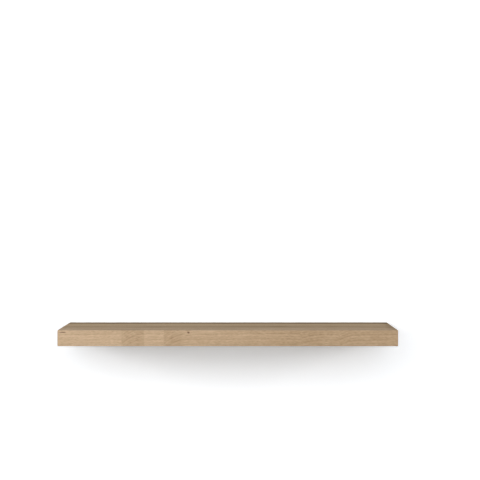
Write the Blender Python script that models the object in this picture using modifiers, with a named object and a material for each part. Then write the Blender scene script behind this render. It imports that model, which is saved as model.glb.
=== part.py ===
"""A solid oak wall shelf that floats on two concealed, tilt-adjustable steel supports.

The board is four full-length oak staves glued edge to edge. Each support is a wall plate with
two lugs, a block that tilts on a pin between the lugs, and a round rod that carries the board
in a blind bore. +X runs along the shelf, -Y points out of the wall and +Z is up. The origin is
the middle of the board's back edge, in the plane of the wall.
"""

import math

import bmesh
import bpy
from mathutils import Matrix, Vector

mm = 0.001

# Oak board: four staves, named from the front edge to the wall
shelf_length = 800 * mm
shelf_thickness = 38 * mm
front_stave_width = 58 * mm
second_stave_width = 50 * mm
third_stave_width = 52 * mm
back_stave_width = 39.7 * mm
glue_line = 0.1 * mm
edge_radius = 1.5 * mm

# Where the supports sit: from each end of the board to the axis of its rod
support_inset = 160 * mm

# Support rod
rod_diameter = 12 * mm
rod_reach = 108 * mm
rod_tip_chamfer = 1.6 * mm
rod_root_chamfer = 0.6 * mm

# Tilt block, a round bar with two flats, bored for the rod, the pivot pin and the tilt screw
block_diameter = 26 * mm
block_width = 18.2 * mm
block_length = 19.2 * mm
block_edge_chamfer = 0.8 * mm
block_plate_gap = 1.8 * mm
rod_seat_depth = 11.4 * mm
seat_clearance = 0.1 * mm

# Wall plate with its two lugs
plate_length = 68 * mm
plate_height = 26 * mm
plate_thickness = 3 * mm
plate_edge_chamfer = 0.5 * mm
screw_hole_inset = 9.5 * mm
lug_thickness = 2.2 * mm
lug_nose_radius = 5 * mm
lug_root_height = 14 * mm
lug_edge_chamfer = 0.4 * mm
lug_side_play = 0.3 * mm
pivot_standoff = 5.2 * mm

# Pivot pin and its retaining clip
pin_diameter = 4 * mm
pin_head_diameter = 6.4 * mm
pin_head_thickness = 1 * mm
pin_edge_chamfer = 0.3 * mm
pin_tail = 0.6 * mm
clip_thickness = 0.6 * mm
clip_diameter = 8 * mm
clip_relief_diameter = 4.9 * mm
clip_groove_depth = 0.5 * mm
clip_play = 0.1 * mm

# Tilt screw, a grub screw whose point bears on the wall plate
tilt_screw_diameter = 5 * mm
tilt_screw_length = 20 * mm
tilt_screw_drop = 9.6 * mm
tilt_screw_point_diameter = 3.4 * mm
tilt_screw_point_length = 1 * mm
tilt_screw_point_gap = 0.3 * mm
hex_socket_width = 2.5 * mm
hex_socket_depth = 3 * mm

# Countersunk wall screws
wall_screw_length = 50 * mm
wall_screw_diameter = 4.6 * mm
wall_screw_head_diameter = 9.2 * mm
wall_screw_head_depth = 2.3 * mm
wall_screw_head_rim = 0.3 * mm
wall_screw_point_length = 6 * mm
cross_recess_width = 5 * mm
cross_recess_slot = 1.1 * mm
cross_recess_depth = 1.5 * mm

# Ribbed wall plugs, split into two legs behind a solid collar
plug_diameter = 8 * mm
plug_length = 40 * mm
plug_plate_gap = 0.3 * mm
plug_collar_length = 9 * mm
plug_nose_length = 4 * mm
plug_nose_taper = 1 * mm
plug_rib_depth = 0.5 * mm
plug_slot_width = 1.2 * mm
plug_ribs = 5

# Blind mortises that the supports enter, from the board's back edge
bore_clearance = 0.3 * mm
bore_end_gap = 5 * mm
pocket_clearance = 1 * mm
pocket_end_gap = 1 * mm
plate_recess_clearance = 1.5 * mm
plate_recess_end_gap = 1.3 * mm

# How far every cutter runs past the face that it opens, and a lug into its plate
cut_overrun = 2 * mm
lug_root_overlap = 1 * mm

# Facets of round work
board_edge_segments = 3
large_round_steps = 48
small_round_steps = 24
clip_arc_steps = 30

# Points closer than this are one point
weld_distance = 0.001 * mm

# Clip shape: the mouth's half angle and the three prongs that grip the pin
clip_mouth_half_angle = math.radians(38)
clip_prong_half_angle = math.radians(14)
clip_prong_angles = [math.radians(a) for a in (90, 180, 270)]

# Finishes, as linear colours
oak_tones = {
    "oak_stave_front": (0.47, 0.335, 0.205),
    "oak_stave_second": (0.43, 0.305, 0.19),
    "oak_stave_third": (0.455, 0.325, 0.2),
    "oak_stave_back": (0.36, 0.25, 0.15),
}
oak_roughness = 0.62
zinc_tone = (0.62, 0.63, 0.65)
zinc_roughness = 0.38
bright_steel_tone = (0.7, 0.7, 0.71)
bright_steel_roughness = 0.28
black_oxide_tone = (0.045, 0.045, 0.05)
black_oxide_roughness = 0.45
yellow_zinc_tone = (0.72, 0.58, 0.3)
yellow_zinc_roughness = 0.35
nylon_tone = (0.42, 0.43, 0.44)
nylon_roughness = 0.5

# Places worked out from the sizes above, all measured from the wall towards the room
support_x = shelf_length / 2 - support_inset
pivot_depth = plate_thickness + pivot_standoff
block_back = plate_thickness + block_plate_gap
block_front = block_back + block_length
rod_root = block_front - rod_seat_depth
rod_tip = block_front + rod_reach
bore_end = rod_tip + bore_end_gap
pocket_end = block_front + pocket_end_gap
plate_recess_end = plate_thickness + plate_recess_end_gap
screw_hole_pitch = plate_length - 2 * screw_hole_inset
lug_inner_x = block_width / 2 + lug_side_play
lug_outer_x = lug_inner_x + lug_thickness
tilt_screw_back = plate_thickness + tilt_screw_point_gap

# Turning of the work's own +Z axis onto a world direction
towards_room = Matrix.Rotation(math.radians(90), 4, "X")
along_shelf = Matrix.Rotation(math.radians(90), 4, "Y")
# A flat outline stood on edge: its x points into the room, its y up and its thickness lies along the shelf
outline_on_side = Matrix(((0, 0, -1, 0), (-1, 0, 0, 0), (0, 1, 0, 0), (0, 0, 0, 1)))


def clear_scene():
    for old in list(bpy.data.objects):
        bpy.data.objects.remove(old)


def new_collection(name):
    collection = bpy.data.collections.new(name)
    bpy.context.scene.collection.children.link(collection)
    return collection


clear_scene()
shelf_parts = new_collection("floating_oak_shelf")
cutters = new_collection("cutters")


def finish_material(name, colour, roughness, metallic):
    """A plain finish: one Principled BSDF."""
    material = bpy.data.materials.get(name)
    if material is None:
        material = bpy.data.materials.new(name)
        material.use_nodes = True
        shader = material.node_tree.nodes["Principled BSDF"]
        shader.inputs["Base Color"].default_value = (*colour, 1)
        shader.inputs["Roughness"].default_value = roughness
        shader.inputs["Metallic"].default_value = metallic
    return material


def oak(stave_name):
    return finish_material(stave_name + "_oiled_oak", oak_tones[stave_name], oak_roughness, 0)


def zinc_plate():
    return finish_material("zinc_plated_steel", zinc_tone, zinc_roughness, 1)


def bright_steel():
    return finish_material("bright_drawn_steel", bright_steel_tone, bright_steel_roughness, 1)


def black_oxide():
    return finish_material("black_oxide_steel", black_oxide_tone, black_oxide_roughness, 1)


def yellow_zinc():
    return finish_material("yellow_zinc_steel", yellow_zinc_tone, yellow_zinc_roughness, 1)


def grey_nylon():
    return finish_material("grey_nylon", nylon_tone, nylon_roughness, 0)


def place(obj, parent, x, y, z, turn=None):
    """Puts an object at x, y, z in its parent's frame, turned by a rotation matrix."""
    obj.parent = parent
    obj.matrix_local = Matrix.Translation((x, y, z)) @ (turn or Matrix.Identity(4))
    return obj


def add_object(name, mesh, collection, material=None):
    obj = bpy.data.objects.new(name, mesh)
    collection.objects.link(obj)
    if material:
        mesh.materials.append(material)
    if collection is cutters:
        obj.hide_render = True
        obj.display_type = "WIRE"
    return obj


def empty(name, parent=None, y=0):
    obj = bpy.data.objects.new(name, None)
    shelf_parts.objects.link(obj)
    return place(obj, parent, 0, y, 0)


def shading_group():
    """Geometry nodes that shade faces smooth and keep every edge that turns 30 degrees or more crisp."""
    group = bpy.data.node_groups.new("smooth_by_angle", "GeometryNodeTree")
    group.is_modifier = True
    group.interface.new_socket("Geometry", in_out="INPUT", socket_type="NodeSocketGeometry")
    group.interface.new_socket("Geometry", in_out="OUTPUT", socket_type="NodeSocketGeometry")
    incoming = group.nodes.new("NodeGroupInput")
    outgoing = group.nodes.new("NodeGroupOutput")
    faces = group.nodes.new("GeometryNodeSetShadeSmooth")
    edges = group.nodes.new("GeometryNodeSetShadeSmooth")
    edges.domain = "EDGE"
    edges.inputs["Shade Smooth"].default_value = False
    turn = group.nodes.new("GeometryNodeInputMeshEdgeAngle")
    crisp = group.nodes.new("FunctionNodeCompare")
    crisp.operation = "GREATER_EQUAL"
    crisp.inputs["B"].default_value = math.radians(30)
    group.links.new(incoming.outputs["Geometry"], faces.inputs["Geometry"])
    group.links.new(faces.outputs["Geometry"], edges.inputs["Geometry"])
    group.links.new(turn.outputs["Unsigned Angle"], crisp.inputs["A"])
    group.links.new(crisp.outputs["Result"], edges.inputs["Selection"])
    group.links.new(edges.outputs["Geometry"], outgoing.inputs["Geometry"])
    return group


def shade_parts():
    """Smooth shading for every finished piece, as its last modifier."""
    group = shading_group()
    for piece in shelf_parts.objects:
        if piece.type == "MESH":
            piece.modifiers.new("shading", "NODES").node_group = group


def box_mesh(name, size_x, size_y, size_z):
    """A box about its own centre."""
    mesh = bpy.data.meshes.new(name)
    bm = bmesh.new()
    bmesh.ops.create_cube(bm, size=1, matrix=Matrix.Diagonal((size_x, size_y, size_z, 1)))
    bm.to_mesh(mesh)
    bm.free()
    return mesh


def cylinder_mesh(name, radius, low, high, steps):
    """A cylinder about Z, from z = low to z = high."""
    mesh = bpy.data.meshes.new(name)
    bm = bmesh.new()
    centre = Matrix.Translation((0, 0, (low + high) / 2))
    bmesh.ops.create_cone(
        bm, cap_ends=True, segments=steps, radius1=radius, radius2=radius,
        depth=high - low, matrix=centre,
    )
    bm.to_mesh(mesh)
    bm.free()
    return mesh


def turned(name, profile, collection, material=None, steps=large_round_steps):
    """A turned piece: a profile of (radius, z) points, from the top of the axis down the outside.

    A profile that starts off the axis is closed on itself and makes a tube.
    """
    mesh = bpy.data.meshes.new(name)
    points = [(radius, 0, z) for radius, z in profile]
    edges = [(i, i + 1) for i in range(len(points) - 1)]
    if profile[0][0] > 0:
        edges.append((len(points) - 1, 0))
    mesh.from_pydata(points, edges, [])
    obj = add_object(name, mesh, collection, material)
    screw = obj.modifiers.new("turning", "SCREW")
    screw.axis = "Z"
    screw.angle = math.radians(360)
    screw.steps = screw.render_steps = steps
    screw.use_merge_vertices = True
    screw.merge_threshold = weld_distance
    screw.use_smooth_shade = False
    return obj


def arc(centre_x, centre_y, radius, start, end, steps):
    """Points on an arc, from start to end in radians, both ends included."""
    return [
        (
            centre_x + radius * math.cos(start + (end - start) * i / steps),
            centre_y + radius * math.sin(start + (end - start) * i / steps),
        )
        for i in range(steps + 1)
    ]


def sheet_mesh(name, outline, thickness):
    """A flat piece with this closed outline, its thickness centred on z = 0, as a welded mesh."""
    curve = bpy.data.curves.new(name, "CURVE")
    curve.dimensions = "2D"
    curve.fill_mode = "BOTH"
    curve.extrude = thickness / 2
    spline = curve.splines.new("POLY")
    spline.points.add(len(outline) - 1)
    for point, (x, y) in zip(spline.points, outline):
        point.co = (x, y, 0, 1)
    spline.use_cyclic_u = True
    drawn = bpy.data.objects.new(name + "_outline", curve)
    bpy.context.scene.collection.objects.link(drawn)
    graph = bpy.context.evaluated_depsgraph_get()
    mesh = bpy.data.meshes.new_from_object(drawn.evaluated_get(graph))
    bpy.data.objects.remove(drawn)
    bpy.data.curves.remove(curve)
    bm = bmesh.new()
    bm.from_mesh(mesh)
    bmesh.ops.remove_doubles(bm, verts=bm.verts, dist=weld_distance)
    bmesh.ops.recalc_face_normals(bm, faces=bm.faces)
    bm.to_mesh(mesh)
    bm.free()
    mesh.name = name
    return mesh


def stadium(length, height):
    """A long outline with round ends."""
    radius = height / 2
    half = length / 2 - radius
    steps = large_round_steps // 2
    right = arc(half, 0, radius, math.radians(-90), math.radians(90), steps)
    left = arc(-half, 0, radius, math.radians(90), math.radians(270), steps)
    return right + left


def combine(obj, other, operation):
    step = obj.modifiers.new(operation.lower(), "BOOLEAN")
    step.operation = operation
    step.object = other
    step.solver = "EXACT"


def chamfer(obj, width, segments=1):
    """Eases every crisp edge of the object."""
    bevel = obj.modifiers.new("edges", "BEVEL")
    bevel.limit_method = "ANGLE"
    bevel.angle_limit = math.radians(60)
    bevel.width = width
    bevel.segments = segments


# Oak board


def stave_faces_shown(face, is_front):
    """True for a face that stays in view once the board is glued up and hung."""
    flat = 0.5
    return abs(face.normal.z) > flat or abs(face.normal.x) > flat or (is_front and face.normal.y < -flat)


def stave(name, width, back_y, slide, is_front):
    """One oak stave, from back_y towards the room, its outer edges rounded and its joint edges square."""
    mesh = box_mesh(name, shelf_length, width, shelf_thickness)
    bm = bmesh.new()
    bm.from_mesh(mesh)
    bm.normal_update()
    weight = bm.edges.layers.float.new("bevel_weight_edge")
    for edge in bm.edges:
        edge[weight] = float(all(stave_faces_shown(face, is_front) for face in edge.link_faces))
    bm.to_mesh(mesh)
    bm.free()
    obj = add_object(name, mesh, shelf_parts, oak(name))
    bevel = obj.modifiers.new("rounded_edges", "BEVEL")
    bevel.limit_method = "WEIGHT"
    bevel.width = edge_radius
    bevel.segments = board_edge_segments
    return place(obj, slide, 0, back_y - width / 2, 0)


def mortise_cutter(side, x, slide):
    """The stepped blind hole for one support: a wide pocket for the block, then the rod's bore."""
    pocket_radius = block_diameter / 2 + pocket_clearance
    bore_radius = rod_diameter / 2 + bore_clearance
    profile = [
        (0, bore_end),
        (bore_radius, bore_end),
        (bore_radius, pocket_end),
        (pocket_radius, pocket_end),
        (pocket_radius, -cut_overrun),
        (0, -cut_overrun),
    ]
    cutter = turned("mortise_" + side, profile, cutters)
    return place(cutter, slide, x, -pivot_from_slide, 0, towards_room)


def plate_recess_cutter(side, x, slide):
    """The shallow recess that lets one wall plate into the back edge."""
    outline = stadium(
        plate_length + 2 * plate_recess_clearance, plate_height + 2 * plate_recess_clearance
    )
    depth = plate_recess_end + cut_overrun
    mesh = sheet_mesh("plate_recess_" + side, outline, depth)
    cutter = add_object("plate_recess_" + side, mesh, cutters)
    middle_y = cut_overrun - depth / 2
    return place(cutter, slide, x, middle_y - pivot_from_slide, 0, towards_room)


def oak_board(slide):
    """Four staves with their joints, cut for the supports."""
    recesses = [plate_recess_cutter(side, x, slide) for side, x in support_places]
    mortises = [mortise_cutter(side, x, slide) for side, x in support_places]
    widths = (
        ("oak_stave_back", back_stave_width),
        ("oak_stave_third", third_stave_width),
        ("oak_stave_second", second_stave_width),
        ("oak_stave_front", front_stave_width),
    )
    depth = 0
    for name, width in widths:
        wood = stave(name, width, -depth - pivot_from_slide, slide, name == "oak_stave_front")
        if depth < plate_recess_end:
            for recess in recesses:
                combine(wood, recess, "DIFFERENCE")
        if depth < bore_end:
            for mortise in mortises:
                combine(wood, mortise, "DIFFERENCE")
        depth += width + glue_line


# Wall plate


def lug_mesh(name):
    """One lug: its flanks run from a foot inside the plate, tangent to a round nose about the pivot."""
    foot = Vector((-pivot_standoff - lug_root_overlap, lug_root_height / 2))
    tangent = math.atan2(foot.y, foot.x) - math.acos(lug_nose_radius / foot.length)
    nose = arc(0, 0, lug_nose_radius, -tangent, tangent, small_round_steps // 2)
    return sheet_mesh(name, [*nose, (foot.x, foot.y), (foot.x, -foot.y)], lug_thickness)


def screw_hole_cutter(name, x, mounts):
    """A clearance hole for a wall screw, countersunk from the room side."""
    hole_radius = wall_screw_diameter / 2 + bore_clearance
    sink_radius = wall_screw_head_diameter / 2 + seat_clearance
    rim = plate_thickness - wall_screw_head_rim - seat_clearance
    sink_end = rim - wall_screw_head_depth
    profile = [
        (0, plate_thickness + cut_overrun),
        (sink_radius, plate_thickness + cut_overrun),
        (sink_radius, rim),
        (hole_radius, sink_end),
        (hole_radius, -cut_overrun),
        (0, -cut_overrun),
    ]
    cutter = turned(name, profile, cutters, steps=small_round_steps)
    return place(cutter, mounts, x, 0, 0, towards_room)


def wall_plate(side, x, mounts):
    """The plate that the wall screws clamp, with two lugs for the pivot pin."""
    name = "wall_plate_" + side
    outline = stadium(plate_length, plate_height)
    plate = add_object(name, sheet_mesh(name, outline, plate_thickness), shelf_parts, zinc_plate())
    place(plate, mounts, x, -plate_thickness / 2, 0, towards_room)
    chamfer(plate, plate_edge_chamfer)
    for end, sign in (("a", -1), ("b", 1)):
        lug = add_object(f"lug_{side}_{end}", lug_mesh(f"lug_{side}_{end}"), cutters)
        chamfer(lug, lug_edge_chamfer)
        lug_x = x + sign * (lug_inner_x + lug_thickness / 2)
        place(lug, mounts, lug_x, -pivot_depth, 0, outline_on_side)
        combine(plate, lug, "UNION")
    pin_radius = pin_diameter / 2 + seat_clearance
    reach = lug_outer_x + cut_overrun
    hole_mesh = cylinder_mesh("pin_hole_" + side, pin_radius, -reach, reach, small_round_steps)
    pin_hole = add_object("pin_hole_" + side, hole_mesh, cutters)
    place(pin_hole, mounts, x, -pivot_depth, 0, along_shelf)
    combine(plate, pin_hole, "DIFFERENCE")
    for end, sign in (("a", -1), ("b", 1)):
        hole = screw_hole_cutter(f"screw_hole_{side}_{end}", x + sign * screw_hole_pitch / 2, mounts)
        combine(plate, hole, "DIFFERENCE")


# Wall screws


def cross_outline(width, slot):
    """A plus sign, the mouth of a cross recess."""
    far = width / 2
    near = slot / 2
    corner = [(near, far), (near, near), (far, near)]
    outline = []
    for quarter in range(4):
        turn = Matrix.Rotation(-quarter * math.radians(90), 2)
        outline += [tuple(turn @ Vector(point)) for point in corner]
    return outline


def wall_screw(name, x, mounts):
    """A countersunk screw, seated in the plate and reaching into the wall."""
    head_top = plate_thickness - seat_clearance
    head_radius = wall_screw_head_diameter / 2
    shank_radius = wall_screw_diameter / 2
    tip = head_top - wall_screw_length
    profile = [
        (0, head_top),
        (head_radius, head_top),
        (head_radius, head_top - wall_screw_head_rim),
        (shank_radius, head_top - wall_screw_head_rim - wall_screw_head_depth),
        (shank_radius, tip + wall_screw_point_length),
        (0, tip),
    ]
    screw = turned(name, profile, shelf_parts, yellow_zinc(), small_round_steps)
    place(screw, mounts, x, 0, 0, towards_room)
    depth = cross_recess_depth + cut_overrun
    outline = cross_outline(cross_recess_width, cross_recess_slot)
    recess = add_object(name + "_recess", sheet_mesh(name + "_recess", outline, depth), cutters)
    place(recess, mounts, x, -(head_top - cross_recess_depth + depth / 2), 0, towards_room)
    combine(screw, recess, "DIFFERENCE")


# Wall plugs


def wall_plug(name, x, mounts):
    """A nylon plug round the shank of one wall screw, sunk in the wall behind the plate."""
    bore_radius = wall_screw_diameter / 2 + seat_clearance
    radius = plug_diameter / 2
    front = -plug_plate_gap
    collar_end = front - plug_collar_length
    rear = front - plug_length
    nose = rear + plug_nose_length
    pitch = (collar_end - nose) / plug_ribs
    ribs = []
    for i in range(plug_ribs):
        ribs += [(radius - plug_rib_depth, collar_end - i * pitch), (radius, collar_end - (i + 1) * pitch)]
    profile = [(radius, front), (radius, collar_end), *ribs, (radius - plug_nose_taper, rear)]
    profile += [(bore_radius, rear), (bore_radius, front)]
    plug = turned(name, profile, shelf_parts, grey_nylon(), small_round_steps)
    place(plug, mounts, x, 0, 0, towards_room)
    slot_length = plug_length - plug_collar_length + cut_overrun
    slot_mesh = box_mesh(name + "_slot", plug_slot_width, slot_length, plug_diameter + cut_overrun)
    slot = add_object(name + "_slot", slot_mesh, cutters)
    place(slot, mounts, x, -collar_end + slot_length / 2, 0)
    combine(plug, slot, "DIFFERENCE")


# Pivot pin and clip


def pivot_pin(side, x, mounts):
    """A headed pin through both lugs and the block, grooved for its clip."""
    radius = pin_diameter / 2
    head_radius = pin_head_diameter / 2
    head_inner = lug_outer_x + seat_clearance
    head_outer = head_inner + pin_head_thickness
    groove_radius = radius - clip_groove_depth
    groove_inner = -(lug_outer_x + seat_clearance)
    groove_outer = groove_inner - clip_thickness - 2 * clip_play
    tail = groove_outer - pin_tail
    profile = [
        (0, head_outer),
        (head_radius - pin_edge_chamfer, head_outer),
        (head_radius, head_outer - pin_edge_chamfer),
        (head_radius, head_inner),
        (radius, head_inner),
        (radius, groove_inner),
        (groove_radius, groove_inner),
        (groove_radius, groove_outer),
        (radius, groove_outer),
        (radius, tail + pin_edge_chamfer),
        (radius - pin_edge_chamfer, tail),
        (0, tail),
    ]
    pin = turned("pivot_pin_" + side, profile, shelf_parts, bright_steel(), small_round_steps)
    place(pin, mounts, x, -pivot_depth, 0, along_shelf)


def clip_inner_radius(angle, grip_radius):
    """The inside of the clip: it grips the groove on three prongs and stands clear between them."""
    on_prong = any(abs(angle - prong) <= clip_prong_half_angle for prong in clip_prong_angles)
    return grip_radius if on_prong else clip_relief_diameter / 2


def retaining_clip(side, x, mounts):
    """A snap clip in the pin's groove, open on one side."""
    grip_radius = pin_diameter / 2 - clip_groove_depth + clip_play
    start = clip_mouth_half_angle
    end = math.radians(360) - clip_mouth_half_angle
    outer = arc(0, 0, clip_diameter / 2, start, end, clip_arc_steps)
    edges = [start, end]
    for prong in clip_prong_angles:
        edges += [prong - clip_prong_half_angle, prong + clip_prong_half_angle]
    edges.sort(reverse=True)
    inner = []
    for high, low in zip(edges, edges[1:]):
        radius = clip_inner_radius((high + low) / 2, grip_radius)
        steps = max(2, round(clip_arc_steps * (high - low) / (end - start)))
        inner += arc(0, 0, radius, high, low, steps)
    name = "retaining_clip_" + side
    clip = add_object(name, sheet_mesh(name, outer + inner, clip_thickness), shelf_parts, black_oxide())
    middle = lug_outer_x + seat_clearance + clip_play + clip_thickness / 2
    place(clip, mounts, x - middle, -pivot_depth, 0, outline_on_side)


# Tilt block, rod and tilt screw: these hang on the tilt axis, so places are measured from it


def from_pivot(distance_from_wall):
    """World distance from the wall, turned into a y in the tilt axis's frame."""
    return pivot_depth - distance_from_wall


def bore_cutter(name, radius, low, high, tilt, x, z):
    """A round hole along the rod's direction, from low to high as distances from the wall."""
    mesh = cylinder_mesh(name, radius, low, high, large_round_steps)
    cutter = add_object(name, mesh, cutters)
    return place(cutter, tilt, x, pivot_depth, z, towards_room)


def tilt_block(side, x, tilt):
    """A round bar with two flats, which rocks on the pivot pin and holds the rod."""
    name = "tilt_block_" + side
    radius = block_diameter / 2
    profile = [
        (0, block_front),
        (radius - block_edge_chamfer, block_front),
        (radius, block_front - block_edge_chamfer),
        (radius, block_back + block_edge_chamfer),
        (radius - block_edge_chamfer, block_back),
        (0, block_back),
    ]
    block = turned(name, profile, shelf_parts, zinc_plate())
    place(block, tilt, x, pivot_depth, 0, towards_room)
    flats_length = block_length + 2 * cut_overrun
    flats_height = block_diameter + 2 * cut_overrun
    flats_mesh = box_mesh(name + "_flats", block_width, flats_length, flats_height)
    flats = add_object(name + "_flats", flats_mesh, cutters)
    place(flats, tilt, x, from_pivot((block_back + block_front) / 2), 0)
    combine(block, flats, "INTERSECT")
    rod_seat = bore_cutter(
        name + "_rod_seat", rod_diameter / 2 + seat_clearance, rod_root - seat_clearance,
        block_front + cut_overrun, tilt, x, 0,
    )
    combine(block, rod_seat, "DIFFERENCE")
    screw_bore = bore_cutter(
        name + "_screw_bore", tilt_screw_diameter / 2 + seat_clearance, block_back - cut_overrun,
        block_front + cut_overrun, tilt, x, -tilt_screw_drop,
    )
    combine(block, screw_bore, "DIFFERENCE")
    pin_radius = pin_diameter / 2 + seat_clearance
    bore_mesh = cylinder_mesh(name + "_pin_bore", pin_radius, -lug_outer_x, lug_outer_x, small_round_steps)
    pin_bore = add_object(name + "_pin_bore", bore_mesh, cutters)
    place(pin_bore, tilt, x, 0, 0, along_shelf)
    combine(block, pin_bore, "DIFFERENCE")


def support_rod(side, x, tilt):
    """The round rod that carries the board, seated in the block."""
    radius = rod_diameter / 2
    profile = [
        (0, rod_tip),
        (radius - rod_tip_chamfer, rod_tip),
        (radius, rod_tip - rod_tip_chamfer),
        (radius, rod_root + rod_root_chamfer),
        (radius - rod_root_chamfer, rod_root),
        (0, rod_root),
    ]
    rod = turned("support_rod_" + side, profile, shelf_parts, bright_steel())
    place(rod, tilt, x, pivot_depth, 0, towards_room)


def tilt_screw(side, x, tilt):
    """A grub screw through the bottom of the block. Its socket faces the room."""
    name = "tilt_screw_" + side
    radius = tilt_screw_diameter / 2
    front = tilt_screw_back + tilt_screw_length
    profile = [
        (0, front),
        (radius - pin_edge_chamfer, front),
        (radius, front - pin_edge_chamfer),
        (radius, tilt_screw_back + tilt_screw_point_length),
        (tilt_screw_point_diameter / 2, tilt_screw_back),
        (0, tilt_screw_back),
    ]
    screw = turned(name, profile, shelf_parts, black_oxide(), small_round_steps)
    place(screw, tilt, x, pivot_depth, -tilt_screw_drop, towards_room)
    across_corners = hex_socket_width / math.cos(math.radians(30))
    socket = add_object(
        name + "_socket",
        cylinder_mesh(
            name + "_socket", across_corners / 2, front - hex_socket_depth, front + cut_overrun, 6
        ),
        cutters,
    )
    place(socket, tilt, x, pivot_depth, -tilt_screw_drop, towards_room)
    combine(screw, socket, "DIFFERENCE")


support_places = (("left", -support_x), ("right", support_x))
# The board's slide hangs on the tilt axis, so its places count from there
pivot_from_slide = -pivot_depth

wall_mounts = empty("wall_mounts")
tilt_axis = empty("tilt_axis", wall_mounts, -pivot_depth)
board_slide = empty("board_slide", tilt_axis)

for support_side, place_x in support_places:
    wall_plate(support_side, place_x, wall_mounts)
    for number, sign in ((1, -1), (2, 1)):
        screw_x = place_x + sign * screw_hole_pitch / 2
        wall_screw(f"wall_screw_{support_side}_{number}", screw_x, wall_mounts)
        wall_plug(f"wall_plug_{support_side}_{number}", screw_x, wall_mounts)
    pivot_pin(support_side, place_x, wall_mounts)
    retaining_clip(support_side, place_x, wall_mounts)
    tilt_block(support_side, place_x, tilt_axis)
    support_rod(support_side, place_x, tilt_axis)
    tilt_screw(support_side, place_x, tilt_axis)
oak_board(board_slide)
shade_parts()

bpy.context.view_layer.update()
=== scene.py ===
# Looks of the floating oak wall shelf: oiled oak staves on concealed supports that tilt to level it
import math

import bmesh
import bpy
from mathutils import Matrix, Vector


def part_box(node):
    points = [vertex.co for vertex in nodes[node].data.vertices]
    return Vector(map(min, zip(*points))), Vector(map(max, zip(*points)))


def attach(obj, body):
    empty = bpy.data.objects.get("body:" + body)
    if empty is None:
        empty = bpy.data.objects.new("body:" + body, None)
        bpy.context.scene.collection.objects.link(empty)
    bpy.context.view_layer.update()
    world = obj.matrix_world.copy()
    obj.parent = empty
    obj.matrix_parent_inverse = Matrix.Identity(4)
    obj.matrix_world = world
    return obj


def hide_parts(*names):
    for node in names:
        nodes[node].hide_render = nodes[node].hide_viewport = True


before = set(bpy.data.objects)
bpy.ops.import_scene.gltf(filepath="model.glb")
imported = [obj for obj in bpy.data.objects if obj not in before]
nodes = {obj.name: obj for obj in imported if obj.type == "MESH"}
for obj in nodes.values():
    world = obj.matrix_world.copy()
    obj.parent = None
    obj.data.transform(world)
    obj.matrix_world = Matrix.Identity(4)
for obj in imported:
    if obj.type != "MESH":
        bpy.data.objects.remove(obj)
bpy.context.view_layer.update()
mm = 0.001                  # one millimetre in metres

print("Stage: camera")

cameraSettings = {
    "place": (0.0188, -2.900, 0.2835),
    "lens": 86.3,           # mm, on a sensor 36 mm wide
    "shiftX": 0.00875,
    "shiftY": -0.0471,
    "clipEnd": 50,
}


def addObject(name, data):
    thing = bpy.data.objects.new(name, data)
    bpy.context.scene.collection.objects.link(thing)
    return thing


def makeCamera():
    data = bpy.data.cameras.new("studioCamera")
    data.lens = cameraSettings["lens"]
    data.shift_x = cameraSettings["shiftX"]
    data.shift_y = cameraSettings["shiftY"]
    data.clip_end = cameraSettings["clipEnd"]
    camera = addObject("studioCamera", data)
    camera.location = cameraSettings["place"]
    camera.rotation_euler = (math.radians(90), 0, 0)        # level, straight at the wall
    bpy.context.scene.camera = camera


makeCamera()
bpy.context.scene.view_settings.view_transform = "Standard"


# Node helpers. A value may be a number, a colour or another node's output.

def feed(tree, socket, value):
    if isinstance(value, bpy.types.NodeSocket):
        tree.links.new(value, socket)
    else:
        socket.default_value = value


def addNode(tree, kind, inputs=None, **settings):
    node = tree.nodes.new("ShaderNode" + kind)
    for name, value in settings.items():
        setattr(node, name, value)
    for name, value in (inputs or {}).items():
        feed(tree, node.inputs[name], value)
    return node


def maths(tree, operation, *values, clamp=False):
    node = addNode(tree, "Math", operation=operation, use_clamp=clamp)
    for socket, value in zip(node.inputs, values):
        feed(tree, socket, value)
    return node.outputs["Value"]


def centred(tree, value):
    return maths(tree, "SUBTRACT", value, 0.5)


def vectorMaths(tree, operation, *values, output="Vector"):
    node = addNode(tree, "VectorMath", operation=operation)
    sockets = [node.inputs[0], node.inputs["Scale"]] if operation == "SCALE" else node.inputs
    for socket, value in zip(sockets, values):
        feed(tree, socket, value)
    return node.outputs[output]


def remap(tree, value, fromLow, fromHigh, toLow=0.0, toHigh=1.0, kind="SMOOTHSTEP"):
    given = {"Value": value, "From Min": fromLow, "From Max": fromHigh}
    wanted = {"To Min": toLow, "To Max": toHigh}
    return addNode(tree, "MapRange", {**given, **wanted}, interpolation_type=kind).outputs["Result"]


mixSockets = {"factor": 0, "first": 6, "second": 7, "result": 2}       # those that mix colours


def mixColour(tree, factor, first, second, blend="MIX"):
    node = addNode(tree, "Mix", data_type="RGBA", blend_type=blend)
    for label, value in (("factor", factor), ("first", first), ("second", second)):
        feed(tree, node.inputs[mixSockets[label]], value)
    return node.outputs[mixSockets["result"]]


def shrunk(tree, vector, size):
    return vectorMaths(tree, "MULTIPLY", vector, [1 / length for length in size])


def noise(tree, vector, size, detail=2.0, output="Fac"):
    inputs = {"Vector": shrunk(tree, vector, size), "Scale": 1.0, "Detail": detail}
    return addNode(tree, "TexNoise", inputs).outputs[output]


def cells(tree, vector, size):
    inputs = {"Vector": shrunk(tree, vector, size), "Scale": 1.0}
    return addNode(tree, "TexVoronoi", inputs).outputs["Distance"]


def addSockets(tree, side, values):
    kinds = {1: "NodeSocketFloat", 3: "NodeSocketVector", 4: "NodeSocketColor"}
    for label, value in values.items():
        kind = kinds[len(value) if isinstance(value, tuple) else 1]
        tree.interface.new_socket(label, in_out=side, socket_type=kind).default_value = value


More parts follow.
